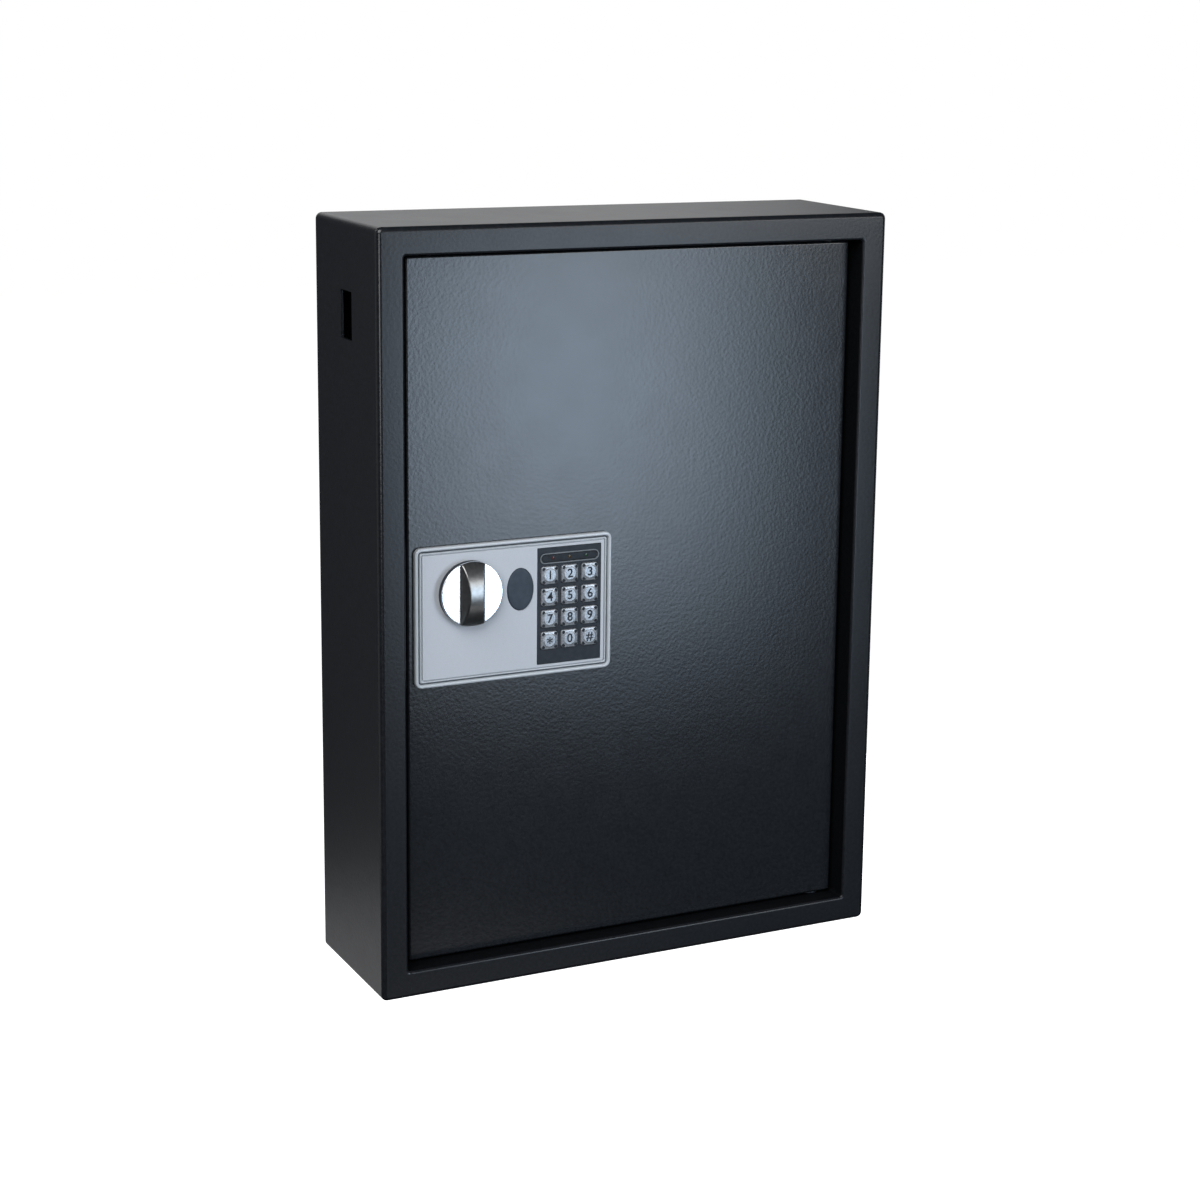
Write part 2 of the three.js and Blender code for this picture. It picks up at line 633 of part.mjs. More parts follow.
function buildLock() {
  const lock = new THREE.Group();
  lock.position.set(PANEL.x, doorFaceY, PANEL.z);
  part(lock, "lock_bezel", lockBezel(), silverPlastic);
  part(lock, "lock_face", lockFace(), faceSilver);
  part(lock, "keypad_mask", keypadMask(), blackPlastic);
  part(lock, "indicator_window", indicatorWindow(), smokedPlastic, [PAD.x, 0, STRIP.z]);
  for (const { name, x, z } of keyPlaces()) {
    part(lock, `key_${name}`, keyCap(), keyMetal, [x, 0, z]);
  }
  part(lock, "keypad_mat", keypadMat(), rubber);
  part(lock, "keypad_board", keypadBoard(), circuitBoard);
  part(lock, "cylinder_plug", plugCover(), slatePlastic, [PLUG.x, 0, PLUG.z]);
  part(lock, "cylinder_housing", cylinderHousing(), brass, [PLUG.x, 0, PLUG.z]);
  part(lock, "cylinder_nut", cylinderNut(), zincSteel, [PLUG.x, 0, PLUG.z]);
  part(lock, "cylinder_rotor", cylinderRotor(), brass, [PLUG.x, 0, PLUG.z]);
  part(lock, "bolt_carriage", boltCarriage(), zincSteel);
  part(lock, "bolt_upper", liveBolt(), chrome, [0, BOLT.y, BOLT.z]);
  part(lock, "bolt_lower", liveBolt(), chrome, [0, BOLT.y, -BOLT.z]);
  part(lock, "guide_post_upper", guidePost(), zincSteel, [POST.x, 0, POST.z]);
  part(lock, "guide_post_lower", guidePost(), zincSteel, [POST.x, 0, -POST.z]);
  part(lock, "solenoid_case", solenoidCase(), zincSteel);
  part(lock, "solenoid_plunger", solenoidPlunger(), zincSteel, [PLUNGER.x, PLUNGER.y, 0]);
  part(lock, "battery_box", batteryBox(), blackPlastic);
  for (let i = 0; i < 4; i++) {
    const z = (BOX.top + BOX.bottom) / 2 + (i - 1.5) * CELL.pitch;
    part(lock, `battery_cell_${i + 1}`, batteryCell(), cellJacket,
      [(BOX.left + BOX.right) / 2, CELL.y, z]);
  }
  part(lock, "battery_lid", batteryLid(), blackPlastic);
  part(lock, "control_board", controlBoard(), circuitBoard);
  part(lock, "reset_button", resetButton(), redPlastic, [RESET.x, 0, RESET.z]);
  part(lock, "lock_cover", lockCover(), paint);
  lock.add(buildKnob());
  return lock;
}

const safe = new THREE.Group();
safe.add(buildCabinet(), buildDoor(), buildLock());
export default safe;
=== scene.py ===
"""Looks of the wall safe: camera, light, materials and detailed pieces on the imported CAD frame."""
import json
import math

import bmesh
import bpy
from mathutils import Matrix, Vector


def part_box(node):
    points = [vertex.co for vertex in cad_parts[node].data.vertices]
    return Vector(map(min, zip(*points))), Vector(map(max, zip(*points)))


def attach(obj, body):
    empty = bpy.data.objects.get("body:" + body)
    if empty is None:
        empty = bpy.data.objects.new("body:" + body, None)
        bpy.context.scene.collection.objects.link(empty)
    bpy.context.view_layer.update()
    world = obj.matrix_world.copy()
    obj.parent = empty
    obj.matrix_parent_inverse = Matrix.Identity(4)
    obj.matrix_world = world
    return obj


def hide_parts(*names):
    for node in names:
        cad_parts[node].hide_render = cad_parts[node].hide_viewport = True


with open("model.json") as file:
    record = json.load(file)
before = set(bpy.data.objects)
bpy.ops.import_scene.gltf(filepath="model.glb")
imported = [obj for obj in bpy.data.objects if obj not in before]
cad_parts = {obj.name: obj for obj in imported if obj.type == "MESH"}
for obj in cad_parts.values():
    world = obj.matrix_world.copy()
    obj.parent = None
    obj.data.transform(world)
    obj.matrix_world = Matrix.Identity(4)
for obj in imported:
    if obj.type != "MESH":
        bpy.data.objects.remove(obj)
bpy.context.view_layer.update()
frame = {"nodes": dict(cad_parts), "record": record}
nodes = frame["nodes"]
MM = 0.001

# Sizes and depths in mm that the pieces below are drawn with.
SHEET = 2.0  # thickness of the folded steel
FRAME_WIDTH = 19.6  # the cabinet's front frame, from its side to its inner lip
LIP_END = -91.0  # depth of the lip's free edge
OUTER_BEND, INNER_BEND = 3.6, 1.8
SLOT_Y, SLOT_Z, SLOT_WIDTH, SLOT_HEIGHT, SLOT_CORNER = -60.3, 209.4, 21.6, 34, 1.2
BUSH_HOLE_R, SPINDLE_HOLE_R, CYLINDER_HOLE_R = 5, 5, 10
KEYPAD_HOLE = (48.5, 78)  # width and height of the hole in the door behind the keypad
KEYPAD_WELL = (50.5, 86)  # width and height of the keypad's window in the silver face
OVAL_WIDTH, OVAL_HEIGHT, OVAL_GAP = 20, 30.4, 0.4
KEY_WIDTH, DIMPLE_REACH, DIGIT_SIZE, PRINT_DEPTH = 13.0, 4.75, 9.0, 0.1
STRIP_WIDTH, STRIP_HEIGHT, LAMP_PITCH = 46.5, 7.8, 13
CELLS, CELL_WALL = 4, 1.4  # the wall is the battery box's
HOOK_BARS, HOOKS, HOOK_PITCH = 7, 12, 27
BAR_SCREW_REACH = 156
CARD_WIDTH, CARD_HEIGHT, CARD_RISE = 326, 6.2, 6.9


# ------------------------------------------------------------------ meshes
def new_object(name, mesh, smooth=40):
    obj = bpy.data.objects.new(name, mesh)
    bpy.context.scene.collection.objects.link(obj)
    if smooth:
        mesh.polygons.foreach_set("use_smooth", [True] * len(mesh.polygons))
        mesh.set_sharp_from_angle(angle=math.radians(smooth))
    return obj


def mesh_from(name, points, faces, smooth=40):
    """An object from points in mm, with joined points and outward faces."""
    mesh = bpy.data.meshes.new(name)
    mesh.from_pydata([Vector(p) * MM for p in points], [], faces)
    bm = bmesh.new()
    bm.from_mesh(mesh)
    bmesh.ops.remove_doubles(bm, verts=bm.verts, dist=1e-6)
    bmesh.ops.recalc_face_normals(bm, faces=bm.faces)
    bm.to_mesh(mesh)
    bm.free()
    return new_object(name, mesh, smooth)


def loft(name, rings, closed=False, caps=True, smooth=40):
    """Joins rings of equal length; closed joins the last to the first, caps fill both ends."""
    count = len(rings[0])
    points = [p for ring in rings for p in ring]
    faces = []
    pairs = list(range(len(rings) - 1)) + ([len(rings) - 1] if closed else [])
    for i in pairs:
        j = (i + 1) % len(rings)
        for k in range(count):
            m = (k + 1) % count
            faces.append((i * count + k, i * count + m, j * count + m, j * count + k))
    if caps and not closed:
        faces.append(tuple(range(count)))
        faces.append(tuple((len(rings) - 1) * count + k for k in reversed(range(count))))
    return mesh_from(name, points, faces, smooth)


def rect_ring(width, height, radius, y, x=0.0, z=0.0, steps=6):
    """A rounded rectangle of points in the XZ plane at depth y, in mm."""
    ring = []
    corners = [(1, 1, 0), (-1, 1, 90), (-1, -1, 180), (1, -1, 270)]
    for sx, sz, start in corners:
        cx = x + sx * (width / 2 - radius)
        cz = z + sz * (height / 2 - radius)
        for i in range(steps + 1):
            a = math.radians(start + 90 * i / steps)
            ring.append((cx + radius * math.cos(a), y, cz + radius * math.sin(a)))
    return ring


def oval_ring(width, height, y, x=0.0, z=0.0, steps=64):
    ring = []
    for i in range(steps):
        a = 2 * math.pi * i / steps
        ring.append((x + width / 2 * math.cos(a), y, z + height / 2 * math.sin(a)))
    return ring


def arc(cx, cy, radius, start, end, steps=5):
    """Points of an arc, as (inset, depth) pairs, from start to end degrees."""
    points = []
    for i in range(steps + 1):
        a = math.radians(start + (end - start) * i / steps)
        points.append((cx + radius * math.cos(a), cy + radius * math.sin(a)))
    return points


def lathe(name, profile, axis, at, steps=48, smooth=35):
    """Turns (radius, along) pairs round an axis through a point, all in mm."""
    rings = []
    for r, along in profile:
        ring = []
        for i in range(steps):
            a = 2 * math.pi * i / steps
            u, v = max(r, 0.001) * math.cos(a), max(r, 0.001) * math.sin(a)
            offset = {"x": (along, u, v), "y": (u, along, v), "z": (u, v, along)}[axis]
            ring.append(tuple(at[k] + offset[k] for k in range(3)))
        rings.append(ring)
    return loft(name, rings, smooth=smooth)


def bake(obj):
    """Applies an object's modifiers to its mesh."""
    bpy.context.view_layer.update()
    graph = bpy.context.evaluated_depsgraph_get()
    mesh = bpy.data.meshes.new_from_object(obj.evaluated_get(graph))
    obj.modifiers.clear()
    obj.data = mesh
    return obj


def cut(obj, cutter):
    """Takes a closed cutter out of a piece, and removes the cutter."""
    modifier = obj.modifiers.new("cut", "BOOLEAN")
    modifier.operation = "DIFFERENCE"
    modifier.solver = "EXACT"
    modifier.object = cutter
    bake(obj)
    bpy.data.objects.remove(cutter)
    return obj


def drill(obj, axis, at, radius, start, end):
    """Cuts a round hole along an axis through a point, from start to end. Sizes in mm."""
    return cut(obj, lathe("drill", [(0, start), (radius, start), (radius, end), (0, end)],
                          axis, at, 32))


def bevel(obj, width, segments):
    """Rounds the edges that turn by more than 30 degrees. The width is in mm."""
    modifier = obj.modifiers.new("bevel", "BEVEL")
    modifier.width = width * MM
    modifier.segments = segments
    modifier.limit_method = "ANGLE"
    modifier.angle_limit = math.radians(30)
    modifier.harden_normals = True
    obj.data.polygons.foreach_set("use_smooth", [True] * len(obj.data.polygons))
    return obj


def even_normals(obj):
    """Keeps large flat faces looking flat beside their rounded edges."""
    modifier = obj.modifiers.new("normals", "WEIGHTED_NORMAL")
    modifier.keep_sharp = True
    modifier.weight = 100
    return obj


def middle(node):
    """The middle of a CAD node's box, in mm."""
    lo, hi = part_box(node)
    return tuple((lo + hi) / 2 / MM)


def span(node):
    """The lowest and the highest corner of a CAD node's box, in mm."""
    lo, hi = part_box(node)
    return tuple(lo / MM), tuple(hi / MM)


# ------------------------------------------------------------------ materials
class Look:
    """A node material with short ways to add what a surface needs."""

    def __init__(self, name, **values):
        self.material = bpy.data.materials.new(name)
        self.material.use_nodes = True
        self.tree = self.material.node_tree
        self.shader = self.tree.nodes["Principled BSDF"]
        for socket, value in values.items():
            self.shader.inputs[socket.replace("_", " ")].default_value = value
        self.place = self.tree.nodes.new("ShaderNodeTexCoord").outputs["Object"]

    def link(self, out, into):
        self.tree.links.new(out, into)

    def noise(self, size_mm, detail=2.0, stretch=None):
        """Noise with features of about size_mm; stretch scales each axis before it."""
        node = self.tree.nodes.new("ShaderNodeTexNoise")
        node.inputs["Scale"].default_value = 1 / (size_mm * MM)
        node.inputs["Detail"].default_value = detail
        place = self.place
        if stretch:
            mapping = self.tree.nodes.new("ShaderNodeMapping")
            mapping.inputs["Scale"].default_value = stretch
            self.link(place, mapping.inputs["Vector"])
            place = mapping.outputs["Vector"]
        self.link(place, node.inputs["Vector"])
        return node.outputs["Fac"]

    def spread(self, value, low, high, start=0.35, end=0.65):
        """Maps a value between start and end to a number or a colour between low and high."""
        ramp = self.tree.nodes.new("ShaderNodeValToRGB")
        first, last = ramp.color_ramp.elements
        first.position, last.position = start, end
        first.color = (low,) * 3 + (1,) if isinstance(low, float) else (*low, 1)
        last.color = (high,) * 3 + (1,) if isinstance(high, float) else (*high, 1)
        self.link(value, ramp.inputs["Fac"])
        return ramp.outputs["Color"]

    def colour(self, out):
        self.link(out, self.shader.inputs["Base Color"])

    def rough(self, out):
        self.link(out, self.shader.inputs["Roughness"])

    def bump(self, value, depth_mm, strength=1.0):
        """Adds relief of depth_mm, on top of any that the look already has."""
        node = self.tree.nodes.new("ShaderNodeBump")
        node.inputs["Distance"].default_value = depth_mm * MM
        node.inputs["Strength"].default_value = strength
        previous = self.shader.inputs["Normal"]
        if previous.is_linked:
            self.link(previous.links[0].from_socket, node.inputs["Normal"])
        self.link(value, node.inputs["Height"])
        self.link(node.outputs["Normal"], previous)


def powder_coat(name, rough, shine, tone=1.0):
    """Near-black paint with a leathery grain; a tone below 1 makes it darker."""
    look = Look(name, Specular_IOR_Level=shine)
    grain = look.noise(2.4, 3.0)
    low = [tone * c for c in (0.006, 0.0068, 0.0084)]
    high = [tone * c for c in (0.0115, 0.013, 0.0158)]
    look.colour(look.spread(grain, low, high, 0.3, 0.7))
    look.rough(look.spread(look.noise(22, 3.0), rough - 0.015, rough + 0.015, 0.2, 0.8))
    look.bump(grain, 0.11, 0.7)
    look.bump(look.noise(5, 1.0), 0.012, 0.5)
    return look.material


def plated_steel():
    look = Look("plated_steel", Metallic=1.0)
    streak = look.noise(3, 3.0, (1, 1, 12))
    look.colour(look.spread(streak, (0.44, 0.46, 0.48), (0.60, 0.61, 0.62)))
    look.rough(look.spread(look.noise(7, 3.0), 0.33, 0.38, 0.2, 0.8))
    look.bump(look.noise(0.8, 2.0), 0.005, 0.4)
    return look.material


def satin_chrome():
    look = Look("satin_chrome", Metallic=1.0, Base_Color=(0.9, 0.92, 0.95, 1))
    look.rough(look.spread(look.noise(2.5, 3.0), 0.22, 0.26))
    look.bump(look.noise(0.4, 2.0, (1, 1, 9)), 0.002, 0.4)
    return look.material


# A darker copy of the chrome: painted shade for the knob's ridge and side.
def knob_chrome_painted_shade():
    look = Look("knob_chrome_painted_shade", Metallic=1.0)
    look.colour(look.spread(look.noise(3, 2.0), (0.25, 0.248, 0.242), (0.3, 0.298, 0.292)))
    look.rough(look.spread(look.noise(2, 2.0), 0.29, 0.32))
    return look.material


def silver_paint(name, low, high, rough, metal):
    look = Look(name, Metallic=metal)
    look.colour(look.spread(look.noise(0.45, 2.0), low, high))
    look.rough(look.spread(look.noise(6, 2.0), rough - 0.03, rough + 0.03))
    look.bump(look.noise(0.5, 2.0), 0.006, 0.5)
    return look.material


def key_metal():
    look = Look("key_metal", Metallic=0.35)
    look.colour(look.spread(look.noise(1.2, 2.0), (0.24, 0.26, 0.285), (0.34, 0.36, 0.39)))
    look.rough(look.spread(look.noise(1.5, 2.0), 0.22, 0.32))
    return look.material


def plastic(name, low, high, rough=0.45, grain_mm=0.6, depth_mm=0.02, shine=0.5):
    look = Look(name, Specular_IOR_Level=shine)
    look.colour(look.spread(look.noise(4, 2.0), low, high))
    look.rough(look.spread(look.noise(2, 2.0), rough - 0.05, rough + 0.05))
    look.bump(look.noise(grain_mm, 2.0), depth_mm, 0.6)
    return look.material


def machined_brass():
    look = Look("machined_brass", Metallic=1.0)
    look.colour(look.spread(look.noise(2, 3.0, (1, 8, 1)), (0.52, 0.36, 0.11), (0.68, 0.5, 0.18)))
    look.rough(look.spread(look.noise(1.5, 2.0), 0.22, 0.36))
    return look.material


def board_green():
    look = Look("board_green", Coat_Weight=0.3)
    weave = look.noise(2.2, 4.0, (1, 1, 6))
    look.colour(look.spread(weave, (0.008, 0.06, 0.03), (0.02, 0.16, 0.07)))
    look.rough(look.spread(look.noise(3, 2.0), 0.3, 0.45))
    return look.material


PAINT = powder_coat("cabinet_coat", 0.3, 0.33)
DOOR_PAINT = powder_coat("door_coat", 0.2, 0.5)
# The lip's coat is a darker, duller copy of the paint: painted shade inside the frame.
LIP_SHADE_PAINT = powder_coat("lip_painted_shade_coat", 0.6, 0.05, 0.4)
STEEL = plated_steel()
CHROME = satin_chrome()
KNOB_SHADE_CHROME = knob_chrome_painted_shade()
RIM_SILVER = silver_paint("rim_silver", (0.46, 0.49, 0.52), (0.52, 0.55, 0.58), 0.4, 0.15)
FACE_SILVER = silver_paint("face_silver", (0.475, 0.5, 0.54), (0.512, 0.54, 0.58), 0.55, 0.1)
KEY_METAL = key_metal()
BLACK = plastic("black_plastic", (0.016, 0.02, 0.027), (0.024, 0.029, 0.037), 0.5, shine=0.25)
SLATE = plastic("slate_plastic", (0.038, 0.052, 0.07), (0.046, 0.062, 0.082), 0.55, shine=0.2)
SMOKED = plastic("smoked_plastic", (0.012, 0.014, 0.018), (0.02, 0.023, 0.028), 0.3, 2, 0.005, 0.1)
RUBBER = plastic("rubber", (0.05, 0.05, 0.048), (0.075, 0.075, 0.07), 0.75)
RED = plastic("red_plastic", (0.38, 0.012, 0.008), (0.48, 0.025, 0.015), 0.35)
SLEEVE = plastic("cell_sleeve", (0.05, 0.055, 0.065), (0.06, 0.066, 0.078), 0.3, 2, 0.001)
INK = plastic("key_ink", (0.014, 0.017, 0.022), (0.024, 0.028, 0.036), 0.6, shine=0.2)
GROOVE = plastic("groove_shadow", (0.07, 0.08, 0.09), (0.09, 0.1, 0.115), 0.6, shine=0.2)
STRIP_RIM = plastic("strip_outline", (0.12, 0.135, 0.15), (0.16, 0.175, 0.19), 0.5)
PAPER = plastic("number_card", (0.62, 0.62, 0.58), (0.7, 0.7, 0.66), 0.7, shine=0.2)
BRASS = machined_brass()
BOARD = board_green()

CAD_LOOKS = {
    "paint": PAINT,
    "zinc_steel": STEEL,
    "silver_plastic": RIM_SILVER,
    "silver_face": FACE_SILVER,
    "black_plastic": BLACK,
    "smoked_plastic": SMOKED,
    "key_metal": KEY_METAL,
    "rubber": RUBBER,
    "circuit_board": BOARD,
    "slate_plastic": SLATE,
    "brass": BRASS,
    "chrome": CHROME,
    "cell_jacket": SLEEVE,
    "red_plastic": RED,
}


def paint(obj, material):
    obj.data.materials.clear()
    obj.data.materials.append(material)
    return obj


def place(obj, body, slot, material, *replaced):
    """Gives a piece its material and body, and hides the CAD nodes that it stands for; the slot is
    not used.
    """
    paint(obj, material)
    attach(obj, body)
    if replaced:
        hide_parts(*replaced)
    return obj


def dress_cad_nodes():
    """Gives every carried-over CAD piece its material and small rounded edges."""
    widths = {"lock_cover": 0.7, "battery_lid": 0.4, "battery_box": 0.3, "lock_face": 0.25,
              "keypad_mask": 0.15, "indicator_window": 0.25}
    for part in frame["record"]["subparts"]:
        obj = nodes[part["node"]]
        paint(obj, CAD_LOOKS[part["material_slot"]])
        weld = obj.modifiers.new("weld", "WELD")
        weld.merge_threshold = 1e-6
        bevel(obj, widths.get(part["node"], 0.3), 2)
        even_normals(obj)


# ------------------------------------------------------------------ cabinet and door
def cabinet_shell():
    """The folded wrap with its front frame and lip: one sheet section swept round the cabinet."""
    (x0, front, z0), (x1, _, z1) = span("cabinet_shell")
    inner = FRAME_WIDTH - SHEET
    section = [(0, 0)]
    section += arc(OUTER_BEND, front + OUTER_BEND, OUTER_BEND, 180, 270)
    section += arc(FRAME_WIDTH - INNER_BEND, front + INNER_BEND, INNER_BEND, 270, 360)
    section += [(FRAME_WIDTH, LIP_END), (inner, LIP_END)]
    section += [(inner, front + SHEET), (SHEET, front + SHEET), (SHEET, 0)]
    corner, lip_corner = OUTER_BEND + 1, 2.4
    rings = []
    for inset, y in section:
        radius = max(corner - inset, 1) if inset < FRAME_WIDTH / 2 else lip_corner
        rings.append(rect_ring(x1 - x0 - 2 * inset, z1 - z0 - 2 * inset, radius, y))
    shell = loft("cabinet_wrap", rings, closed=True)
    outline = rect_ring(SLOT_WIDTH, SLOT_HEIGHT, SLOT_CORNER, 0)
    slot = loft("slot_cutter", [[(x, SLOT_Y + a, SLOT_Z + b) for a, _, b in outline]
                                for x in (x0 - 1, x0 + SHEET + 1)])
    cut(shell, slot)
    pivot_x, pivot_y, _ = middle("hinge_bush_upper")
    reach = z1 - SHEET - 1
    drill(shell, "z", (pivot_x, pivot_y, 0), BUSH_HOLE_R, -reach, reach)
    shell.data.set_sharp_from_angle(angle=math.radians(40))
    even_normals(shell)
    place(shell, "cabinet", "paint", PAINT, "cabinet_shell")
    shell.data.materials.append(LIP_SHADE_PAINT)
    shell.data.materials.append(DOOR_PAINT)
    play = 0.2
    half_width, half_height = x1 - FRAME_WIDTH + play, z1 - FRAME_WIDTH + play
    for face in shell.data.polygons:
        x, y, z = face.center / MM
        in_frame = abs(x) < half_width and abs(z) < half_height
        at_side = x1 - abs(x) < OUTER_BEND and front < y < front + OUTER_BEND
        if in_frame and front + 1.9 < y < LIP_END:
            face.material_index = 1  # the inner lip, in darker paint as painted shade
        elif at_side and abs(face.normal.y) > 0.08:
            face.material_index = 2  # the bends at the frame's left and right


def door_pan():
    """The door: a flat front with rolled edges and a fold round its back."""
    (x0, y0, z0), (x1, y1, z1) = span("door_panel")
    roll = 1.8
    section = list(reversed(arc(roll, y0 + roll, roll, 180, 270)))
    section += [(0, y1), (SHEET, y1), (SHEET, y0 + SHEET)]
    rings = []
    for inset, y in section:
        radius = max(2 - inset, 0.4)
        rings.append(rect_ring(x1 - x0 - 2 * inset, z1 - z0 - 2 * inset, radius, y,
                               (x0 + x1) / 2, (z0 + z1) / 2))
    door = loft("door_pan", rings)
    mx, _, mz = middle("keypad_board")
    start, end = y0 - 1, y0 + SHEET + 1
    cut(door, loft("hole_cutter", [rect_ring(*KEYPAD_HOLE, 2, y, mx, mz) for y in (start, end)]))
    for node, radius in (("knob_spindle", SPINDLE_HOLE_R), ("cylinder_plug", CYLINDER_HOLE_R)):
        x, _, z = middle(node)
        drill(door, "y", (x, 0, z), radius, start, end)
    door.data.set_sharp_from_angle(angle=math.radians(40))
    even_normals(door)
    place(door, "door", "paint", DOOR_PAINT, "door_panel")


# ------------------------------------------------------------------ lock panel
def lock_bezel():
    """The silver frame of the lock panel: an outer and an inner bead with a dark groove between."""
    (x0, front, z0), (x1, _, z1) = span("lock_bezel")
    face = middle("lock_face")
    width, height = x1 - x0, z1 - z0
    back, bed = -105.3, -106.4  # depths of its back and of the flat that the beads stand on
    section = [(0, back)]
    section += arc(1.1, front + 1.1, 1.1, 180, 270)
    section += arc(1.6, front + 0.9, 0.9, 270, 350, 4)
    section += [(2.6, bed - 0.4), (2.8, bed - 0.2), (3.6, bed - 0.2), (3.8, bed - 0.4)]
    section += arc(4.4, front + 1.3, 0.55, 180, 360, 6)
    section += [(5.1, bed), (8.2, bed), (8.2, back)]
    rings = []
    for inset, y in section:
        radius = max(5 - inset, 1.1)
        rings.append(rect_ring(width - 2 * inset, height - 2 * inset, radius, y,
                               face[0], face[2], 8))
    bezel = loft("bezel_frame", rings, closed=True)
    even_normals(bezel)
    place(bezel, "door", "silver_plastic", RIM_SILVER, "lock_bezel")
    inlay = [(2.65, bed), (2.65, bed - 0.32), (3.75, bed - 0.32), (3.75, bed)]
    groove = loft("bezel_groove", [
        rect_ring(width - 2 * inset, height - 2 * inset, 5 - inset, y, face[0], face[2], 8)
        for inset, y in inlay], closed=True)
    place(groove, "door", "black_plastic", GROOVE)


def lock_face():
    """The flat silver plate, with its cut-outs for the keypad, the oval cover and the knob."""
    (x0, front, z0), (x1, back, z1) = span("lock_face")
    mx, mz = (x0 + x1) / 2, (z0 + z1) / 2
    rings = [rect_ring(x1 - x0 - 2 * i, z1 - z0 - 2 * i, 1.2 - i, y, mx, mz)
             for i, y in [(0, back), (0, front + 0.25), (0.08, front + 0.08), (0.25, front)]]
    plate = loft("face_plate", rings)
    kx, _, kz = middle("keypad_mask")
    ox, _, oz = middle("cylinder_plug")
    sx, _, sz = middle("knob_spindle")
    for outline in (
            lambda y: rect_ring(*KEYPAD_WELL, 0.5, y, kx, kz),
            lambda y: oval_ring(OVAL_WIDTH + 2 * OVAL_GAP, OVAL_HEIGHT + 2 * OVAL_GAP, y, ox, oz),
            lambda y: oval_ring(2 * SPINDLE_HOLE_R, 2 * SPINDLE_HOLE_R, y, sx, sz, 32)):
        cut(plate, loft("cutter", [outline(front - 1), outline(back + 1)]))
    plate.data.set_sharp_from_angle(angle=math.radians(40))
    even_normals(plate)
    place(plate, "door", "silver_face", FACE_SILVER, "lock_face")


def oval_cover():
    """The slightly domed cover that pulls off the override key's cylinder."""
    x, _, z = middle("cylinder_plug")
    (_, front, _), (_, back, _) = span("cylinder_plug")
    section = [(0, back), (0, front + 0.7), (0.12, front + 0.35), (0.4, front + 0.12),
               (0.8, front + 0.02), (4, front)]
    rings = [oval_ring(OVAL_WIDTH - 2 * inset, OVAL_HEIGHT - 2 * inset, y, x, z)
             for inset, y in section]
    cover = loft("oval_cover", rings, smooth=50)
    place(cover, "cylinder_cover", "slate_plastic", SLATE, "cylinder_plug")


KNOB_R, SKIRT = 23.4, 6.0  # radius and thickness of the knob's disc
RIDGE, RIDGE_BASE, RIDGE_CREST = 9.0, 9.25, 5.0  # height, and half widths at its foot and crest
COLLAR = 5.1  # depth of the black collar round the skirt, behind the bright face; its black is painted shade
RIM_ROUND, FOOT_ROUND, CREST_ROUND = 0.7, 0.8, 0.9


def soft_min(a, b, radius):
    """The smaller of two heights, rounded where they cross."""
    h = max(radius - abs(a - b), 0.0) / radius
    return min(a, b) - h * h * radius / 4


def knob_height(x, z):
    """Height of the knob's front over its back face: a disc, and an arched ridge across it."""
    arc_r = (KNOB_R ** 2 + RIDGE ** 2) / (2 * RIDGE)
    arch = math.sqrt(max(arc_r ** 2 - z * z, 0)) - (arc_r - RIDGE)
    flank = (RIDGE_BASE - abs(x)) * RIDGE / (RIDGE_BASE - RIDGE_CREST)
    ridge = soft_min(arch, flank, CREST_ROUND)
    height = SKIRT - soft_min(-ridge, 0.0, FOOT_ROUND)
    edge = KNOB_R - math.hypot(x, z)
    if edge < RIM_ROUND:
        inward = RIM_ROUND - max(edge, 0)
        height -= RIM_ROUND - math.sqrt(max(RIM_ROUND ** 2 - inward ** 2, 0))
    return height


def turn_knob():
    """The knob, as rows of points that lie closer together at the rim and at the ridge's bends."""
    cx, _, cz = middle("knob_spindle")
    seat = span("knob")[1][1]
    back = seat - COLLAR
    rows, points, faces = 112, [], []
    from_rim = [0, 0.06, 0.16, 0.3, 0.5, 0.7, 0.9, 1.5, 3, 5, 7, 9]
    from_middle = [10.4, 9.9, 9.6, 9.4, 9.25, 9.1, 8.9, 8.5, 8, 7.4, 6.8, 6.2, 5.9, 5.6, 5.35,
                   5.15, 5, 4.85, 4.65, 4.4, 4, 3.2, 2.2, 1.1, 0]
    for i in range(rows + 1):
        t = -math.pi / 2 + math.pi * i / rows
        z, rim = KNOB_R * math.sin(t), KNOB_R * math.cos(t)
        half = [rim - d for d in from_rim if rim - d > from_middle[0] + 0.05]
        filler = half[-1] if half else rim
        half += [filler] * (len(from_rim) - len(half))
        half += [min(r, rim) for r in from_middle]
        row = [-x for x in half] + list(reversed(half[:-1]))
        points += [(cx + x, seat - knob_height(x, z), cz + z) for x in row]
    count = len(points) // (rows + 1)
    for i in range(rows):
        for k in range(count - 1):
            a = i * count + k
            faces.append((a, a + 1, a + count + 1, a + count))
    rim_ids = [i * count for i in range(rows + 1)]
    rim_ids += [i * count + count - 1 for i in range(rows - 1, 0, -1)]
    start = len(points)
    points += [(points[i][0], back, points[i][2]) for i in rim_ids]
    total = len(rim_ids)
    for k in range(total):
        m = (k + 1) % total
        faces.append((rim_ids[k], rim_ids[m], start + m, start + k))
    faces.append(tuple(start + k for k in range(total)))
    knob = mesh_from("knob_cap", points, faces, 70)
    place(knob, "turn_knob", "chrome", CHROME, "knob")
    knob.data.materials.append(KNOB_SHADE_CHROME)
    disc = (seat - SKIRT) * MM
    # The ridge and the skirt's side take the darker chrome: painted shade on a knob that is one
    # chrome.
    for face in knob.data.polygons:
        on_ridge = disc - face.center.y > 0.3 * MM
        on_side = face.center.y > disc + 0.75 * MM
        face.material_index = int(on_ridge or on_side)
    # The collar is black: painted shade at the knob's side.
    edge = KNOB_R - 0.25
    collar = lathe("knob_collar", [(0, seat), (edge - 0.3, seat), (edge, seat - 0.3), (edge, back),
                                   (0, back)], "y", (cx, 0, cz), 96)
    place(collar, "turn_knob", "black_plastic", BLACK)


